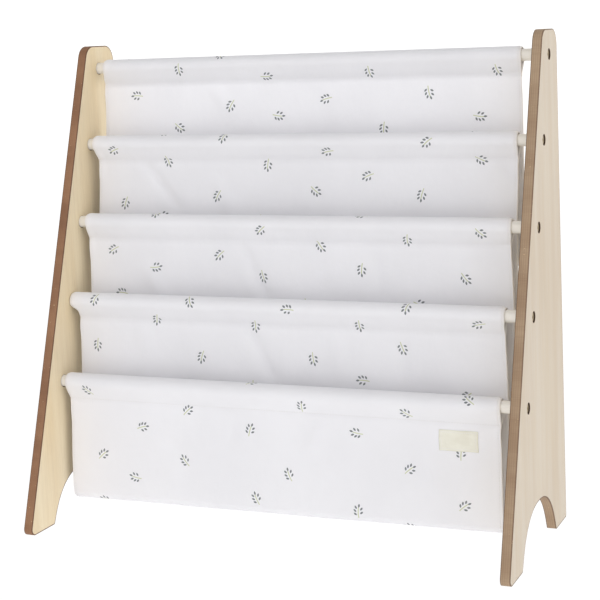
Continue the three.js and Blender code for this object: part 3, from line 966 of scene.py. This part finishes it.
def canvas_finish():
    canvas = Finish("printed_canvas")
    cloth = canvas.node("ShaderNodeUVMap", {"uv_map": "cloth"}, {})
    u = canvas.axis(cloth, "X")
    v = canvas.axis(cloth, "Y")
    weave = plain_weave(u, v, thread_pitch, thread_pitch, 0.5)
    slubs = canvas.noise((70, 1700, 1), 2.0, 0.6, cloth)
    slubs = slubs + canvas.noise((1700, 70, 1), 2.0, 0.6, cloth)
    crumple = canvas.noise((34, 26, 1), 4.0, 0.55, cloth)
    tone = canvas.noise((11, 8, 1), 3.0, 0.5, cloth)

    # Sprigs: one in each cell of a half-drop repeat, moved and turned by the cell's own numbers
    cell = 0.071
    wander_u = 0.030
    wander_v = 0.028
    turn_range = 3.4
    column = (u / cell).floor()
    shifted = v / cell + column * 0.5
    row = shifted.floor()
    cell_name = canvas.node("ShaderNodeCombineXYZ", {}, {"X": column, "Y": row, "Z": 3.7})
    drawn = canvas.node("ShaderNodeTexWhiteNoise", {}, {"Vector": cell_name}, "Color")
    first = canvas.axis(drawn, "X")
    second = canvas.axis(drawn, "Y")
    third = canvas.axis(drawn, "Z")
    local_u = (u / cell - column - 0.5) * cell + (first - 0.5) * wander_u
    local_v = (shifted - row - 0.5) * cell + (second - 0.5) * wander_v
    angle = (third - 0.5) * turn_range
    cosine = angle.cosine()
    sine = angle.sine()
    x = local_u * cosine + local_v * sine
    y = local_v * cosine - local_u * sine

    # Each leaf: its middle from the sprig's own middle, and the way it points in degrees
    leaf_length = 0.0025
    leaf_width = 0.00125
    stalk_bend = 9.0
    stalk_half_width = 0.0008
    stalk_half_length = 0.0072
    stalk_lowered = 0.0010
    leaves = (
        (0.0009, 0.0076, 80),
        (-0.0031, 0.0053, 122),
        (0.0040, 0.0038, 52),
        (-0.0041, 0.0011, 136),
        (0.0043, -0.0010, 40),
        (-0.0036, -0.0031, 146),
    )
    ink = None
    for leaf_x, leaf_y, degrees in leaves:
        lean = radians(degrees)
        forward = ((x - leaf_x) * cos(lean) + (y - leaf_y) * sin(lean)) / leaf_length
        sideways = ((y - leaf_y) * cos(lean) - (x - leaf_x) * sin(lean)) / leaf_width
        inside = (1 - forward * forward - abs(sideways)).rise(-0.08, 0.16)
        ink = inside if ink is None else ink.most(inside)
    bent = x - stalk_bend * y * y
    stalk = (1 - abs(bent) / stalk_half_width).rise(0.0, 0.6)
    stalk = stalk * (1 - abs(y + stalk_lowered) / stalk_half_length).rise(0.0, 0.1)

    base = canvas.mix(tone.rise(0.3, 0.7), paint(241, 240, 244), paint(237, 236, 240))
    base = canvas.mix((1 - weave) * 0.12, base, paint(216, 215, 220))
    base = canvas.mix(stalk * 0.85, base, paint(196, 200, 152))
    base = canvas.mix(ink * 0.92, base, paint(106, 112, 115))
    relief = weave * 0.55 + slubs * 0.3
    fine = canvas.bump(relief, 0.00022, 0.5)
    canvas.set(
        base_color=base,
        roughness=0.86 + 0.08 * tone,
        normal=canvas.bump(crumple, 0.0017, 0.6, fine),
        subsurface_weight=0.3,
        subsurface_radius=(1.0, 1.0, 1.0),
        subsurface_scale=0.0025,
        sheen_weight=0.12,
        sheen_roughness=0.5,
        specular_ior_level=0.25,
    )
    return canvas.material


def cloth_mesh(name, points, normals, half, u, v, finish):
    """A closed cloth: two faces half its thickness to each side of its middle."""
    rows, columns = points.shape[:2]
    count = rows * columns
    both = np.concatenate([points + normals * half, points - normals * half]).reshape(-1, 3)
    index = np.arange(count).reshape(rows, columns)
    under = index + count

    def quads(*corners):
        return np.stack([corner.ravel() for corner in corners], axis=1)

    faces = [
        quads(index[:-1, :-1], index[:-1, 1:], index[1:, 1:], index[1:, :-1]),
        quads(under[:-1, :-1], under[1:, :-1], under[1:, 1:], under[:-1, 1:]),
        quads(index[:-1, 0], index[1:, 0], under[1:, 0], under[:-1, 0]),
        quads(index[:-1, -1], under[:-1, -1], under[1:, -1], index[1:, -1]),
        quads(index[0, :-1], under[0, :-1], under[0, 1:], index[0, 1:]),
        quads(index[-1, :-1], index[-1, 1:], under[-1, 1:], under[-1, :-1]),
    ]
    mesh = bpy.data.meshes.new(name)
    mesh.from_pydata(both.tolist(), [], np.concatenate(faces).tolist())
    flat = np.stack(np.broadcast_arrays(u, v), axis=-1).reshape(-1, 2)
    flat = np.concatenate([flat, flat])
    made = finished(name, mesh, finish, 180)
    corner = np.zeros(len(made.data.loops), dtype=np.int64)
    made.data.loops.foreach_get("vertex_index", corner)
    layer = made.data.uv_layers.new(name="cloth")
    layer.data.foreach_set("uv", flat[corner].ravel())
    return made


canvas = canvas_finish()
cloth_points, cloth_normals, cloth_columns, cloth_rows = sling_surface()
edge_distance = np.minimum(cloth_columns, sling_width - cloth_columns)
cloth_halves = cloth_half(edge_distance)
middle_column = len(cloth_columns) // 2
steps = np.linalg.norm(np.diff(cloth_points[:, middle_column], axis=0), axis=1)
path = np.concatenate([[0.0], np.cumsum(steps)])
sling = cloth_mesh(
    "sling",
    cloth_points,
    cloth_normals,
    cloth_halves[None, :, None],
    cloth_columns[None, :],
    path[:, None],
    canvas,
)
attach(sling, "root")
sleeve_names = [f"sling_sleeve_{number}" for number in rod_numbers]
pocket_names = [f"sling_pocket_{number}" for number in range(1, rod_count)]
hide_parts(*sleeve_names, *pocket_names)

# Stitches
# White cotton thread: a row through both layers below each rod, which closes the casing, and
# a row all along the sling's two side edges.

seam_pitch = 0.0034
thread_radius = 0.00026
thread_proud = thread_radius * 0.35
stitch_share = 0.82
stitch_stray = 0.07
stitch_seed = 11
side_row = 0.0034
side_row_lift = 0.0002


def thread_finish():
    thread = Finish("white_thread")
    twist = thread.noise((2600, 2600, 2600), 2.0, 0.5)
    thread.set(
        base_color=thread.mix(twist, paint(242, 241, 240), paint(222, 221, 222)),
        roughness=0.7,
        normal=thread.bump(twist, 0.00008, 0.5),
    )
    return thread.material


stitching = Repeat(
    "stitch_rows", Pitch="Float", Length="Float", Radius="Float", Finish="Material"
)
line = stitching.node("GeometryNodeMeshToCurve", {}, {"Mesh": stitching.given("Geometry")})
spaced = stitching.node(
    "GeometryNodeResampleCurve",
    {"mode": "LENGTH"},
    {"Curve": line, "Length": stitching.given("Pitch")},
)
ball = stitching.node(
    "GeometryNodeMeshUVSphere", {}, {"Segments": 6, "Rings": 4, "Radius": 1.0}
)
tangent = stitching.node("GeometryNodeInputTangent", {}, {})
stray = stitching.node(
    "FunctionNodeRandomValue",
    {"data_type": "FLOAT_VECTOR"},
    {0: (-stitch_stray,) * 3, 1: (stitch_stray,) * 3, "Seed": stitch_seed},
)
heading = stitching.node("ShaderNodeVectorMath", {"operation": "ADD"}, [tangent, stray])
aim = stitching.node("FunctionNodeAlignRotationToVector", {"axis": "X"}, {"Vector": heading})
half_length = stitching.given("Length") * 0.5
radius = stitching.given("Radius")
size = stitching.node("ShaderNodeCombineXYZ", {}, [half_length, radius, radius])
stitching.finish(Points=spaced, Instance=ball, Rotation=aim, Scale=size)


def lines(rows_of_points):
    """Points and edges for several open lines."""
    points = []
    edges = []
    for row_of_points in rows_of_points:
        first = len(points)
        points += [tuple(point) for point in row_of_points]
        edges += [(index, index + 1) for index in range(first, len(points) - 1)]
    return points, edges


thread = thread_finish()
stitch_lines = []
is_sleeve = cloth_rows[:, -1] > 0
for index in range(1, len(cloth_rows) - 1):
    starts = is_sleeve[index + 1] and not is_sleeve[index]
    ends = is_sleeve[index - 1] and not is_sleeve[index]
    if starts or ends:
        off_middle = (cloth_halves + thread_proud)[:, None]
        seam = cloth_points[index] + cloth_normals[index] * off_middle
        stitch_lines.append(seam[2:-2])
for distance in (side_row, sling_width - side_row):
    after = int(np.searchsorted(cloth_columns, distance))
    before = after - 1
    share = (distance - cloth_columns[before]) / (cloth_columns[after] - cloth_columns[before])
    middle = blend(cloth_points[:, before], cloth_points[:, after], share)
    normal = cloth_normals[:, after]
    offset = half_cloth + side_row_lift + thread_proud
    for face in (-1, 1):
        stitch_lines.append(middle + face * normal * offset)
points, edges = lines(stitch_lines)
stitches = stitching.apply(
    "sling_stitches",
    points,
    edges,
    pitch=seam_pitch,
    length=seam_pitch * stitch_share,
    radius=thread_radius,
    finish=thread,
)
stitches.data.shade_smooth()
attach(stitches, "root")

# Label
# A bare patch of cream cotton tape, 48 by 25 mm, with its ends turned under. It is sewn on
# near the right edge of the lowest pocket's front.

label_low, label_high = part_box("sling_label")
label_half = 0.00028
label_gap = 0.00006
label_columns = 33
label_rows = 19
label_round = 0.001
label_tuck = 0.00025
label_tuck_place = 0.004
label_tuck_width = 0.0025
label_side_waver = 0.0002
label_side_pace = 260
label_end_waver = 0.00015
label_end_pace = 210
tape_warp_pitch = 0.00034
tape_weft_pitch = 0.00042
label_pitch = 0.0022
label_stitch = 0.0018
label_thread_radius = 0.0002
stitch_inset = 2


def label_finish():
    tape = Finish("woven_cotton_tape")
    cloth = tape.node("ShaderNodeUVMap", {"uv_map": "cloth"}, {})
    u = tape.axis(cloth, "X")
    v = tape.axis(cloth, "Y")
    weave = plain_weave(u, v, tape_warp_pitch, tape_weft_pitch, 0.4)
    cloud = tape.noise((60, 90, 1), 3.0, 0.5, cloth)
    base = tape.mix(cloud.rise(0.3, 0.7), paint(240, 238, 226), paint(232, 229, 215))
    tape.set(
        base_color=tape.mix((1 - weave) * 0.2, base, paint(205, 199, 174)),
        roughness=0.8,
        normal=tape.bump(weave, 0.00015, 0.5),
        sheen_weight=0.1,
    )
    return tape.material


def label_surface():
    """The middle of the label, which follows the cloth below the lowest rod."""
    front = rod_count - 1
    across = np.linspace(label_low.x, label_high.x, label_columns)[None, :]
    up = np.linspace(label_low.z, label_high.z, label_rows)[:, None]
    drop = rod_axes[front][1] - up
    cloth_y = wall_y(front, drop, front_lean, 1) + fold_shift(front, across, drop)
    cloth_y = cloth_y - pucker(front, across, drop) - curl(across, drop)
    rim = np.minimum(
        np.minimum(across - label_low.x, label_high.x - across),
        np.minimum(up - label_low.z, label_high.z - up),
    )
    lift = label_tuck * np.exp(-(((rim - label_tuck_place) / label_tuck_width) ** 2))
    points = np.zeros((label_rows, label_columns, 3))
    points[..., 0] = across + label_side_waver * np.sin(up * label_side_pace)
    points[..., 1] = cloth_y - half_cloth - label_gap - label_half - lift
    points[..., 2] = up + label_end_waver * np.sin(across * label_end_pace)
    return points, outward(points), across, up, rim


label_points, label_normals, label_u, label_v, label_rim = label_surface()
label_halves = label_half * np.sqrt(np.clip(label_rim / label_round, 0.25, 1))[..., None]
label = cloth_mesh(
    "sling_tape_label",
    label_points,
    label_normals,
    label_halves,
    label_u,
    label_v,
    label_finish(),
)
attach(label, "root")
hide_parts("sling_label")

sewn_part = label_points[stitch_inset:-stitch_inset, stitch_inset:-stitch_inset]
around = [sewn_part[0], sewn_part[:, -1], sewn_part[-1][::-1], sewn_part[:, 0][::-1]]
raised = [side - np.array([0, label_half + thread_radius * 0.3, 0]) for side in around]
points, edges = lines(raised)
label_stitches = stitching.apply(
    "label_stitches",
    points,
    edges,
    pitch=label_pitch,
    length=label_stitch,
    radius=label_thread_radius,
    finish=thread,
)
label_stitches.data.shade_smooth()
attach(label_stitches, "root")

# Studio
# A plain white sweep under soft light, and the camera where the photograph was taken from.

sweep_half_width = 7.0
sweep_front = -5.0
sweep_back = 4.0
sweep_radius = 2.0
sweep_height = 6.0
sweep_steps = 16
sweep_floor_glow = 0.97
sweep_wall_glow = 1.3
world_glow = 0.36


def sweep_finish():
    sweep = Finish("white_sweep")
    haze = sweep.noise((0.7, 0.7, 0.7), 2.0, 0.5)
    height = sweep.axis(sweep.place, "Z")
    on_floor = (sweep_floor_glow / sweep_wall_glow,) * 3 + (1.0,)
    sweep.set(
        base_color=sweep.mix(haze, paint(96, 96, 96), paint(90, 90, 90)),
        roughness=0.9,
        emission_color=sweep.mix(height.rise(0.0, 1.5), on_floor, (1.0, 1.0, 1.0, 1.0)),
        emission_strength=sweep_wall_glow,
        specular_ior_level=0.0,
    )
    return sweep.material


floor_ends = (sweep_front, -1.0, 0.0, 1.0, sweep_back - sweep_radius)
section = [(along, 0.0) for along in floor_ends]
for step in range(1, sweep_steps + 1):
    angle = pi / 2 * step / sweep_steps
    along = sweep_back - sweep_radius + sweep_radius * sin(angle)
    section.append((along, sweep_radius - sweep_radius * cos(angle)))
section.append((sweep_back, sweep_height))
corners = [(x, y, z) for y, z in section for x in (-sweep_half_width, sweep_half_width)]
strips = [(2 * k, 2 * k + 1, 2 * k + 3, 2 * k + 2) for k in range(len(section) - 1)]
sweep_mesh = bpy.data.meshes.new("sweep")
sweep_mesh.from_pydata(corners, [], strips)
sweep_mesh.shade_smooth()
sweep_mesh.materials.append(sweep_finish())
sweep = placed("sweep", sweep_mesh)

world = bpy.data.worlds.new("studio")
world.use_nodes = True
surround = world.node_tree.nodes["Background"].inputs
surround["Color"].default_value = (1.0, 1.0, 1.0, 1.0)
surround["Strength"].default_value = world_glow
bpy.context.scene.world = world


def soft_light(name, energy, spread, heading):
    """A wide, even light that travels along its heading."""
    light = bpy.data.lights.new(name, "SUN")
    light.energy = energy
    light.angle = radians(spread)
    lamp = placed(name, light)
    lamp.rotation_mode = "QUATERNION"
    lamp.rotation_quaternion = Vector(heading).to_track_quat("-Z", "Y")


soft_light("main_light", 1.02, 60, (-0.05, 0.8, -0.5))
soft_light("side_light", 0.6, 60, (-0.85, 0.45, -0.2))

camera_place = Vector((0.76538, -1.72050, 0.61717))
camera_yaw = 0.40636
camera_pitch = 0.11094
camera_roll = 0.039495
flat = cos(camera_pitch)
ahead = Vector((-sin(camera_yaw) * flat, cos(camera_yaw) * flat, -sin(camera_pitch)))
level = Vector((cos(camera_yaw), sin(camera_yaw), 0))
down = ahead.cross(level)
right = level * cos(camera_roll) + down * sin(camera_roll)
up = level * sin(camera_roll) - down * cos(camera_roll)
lens = bpy.data.cameras.new("camera")
lens.sensor_width = 36.0
lens.lens = 92.119
lens.shift_x = -0.00077
lens.shift_y = -0.15791
camera = placed("camera", lens)
turned = Matrix((right, up, -ahead)).transposed()
camera.matrix_world = Matrix.Translation(camera_place) @ turned.to_4x4()
bpy.context.scene.camera = camera
bpy.context.scene.view_settings.view_transform = "Standard"
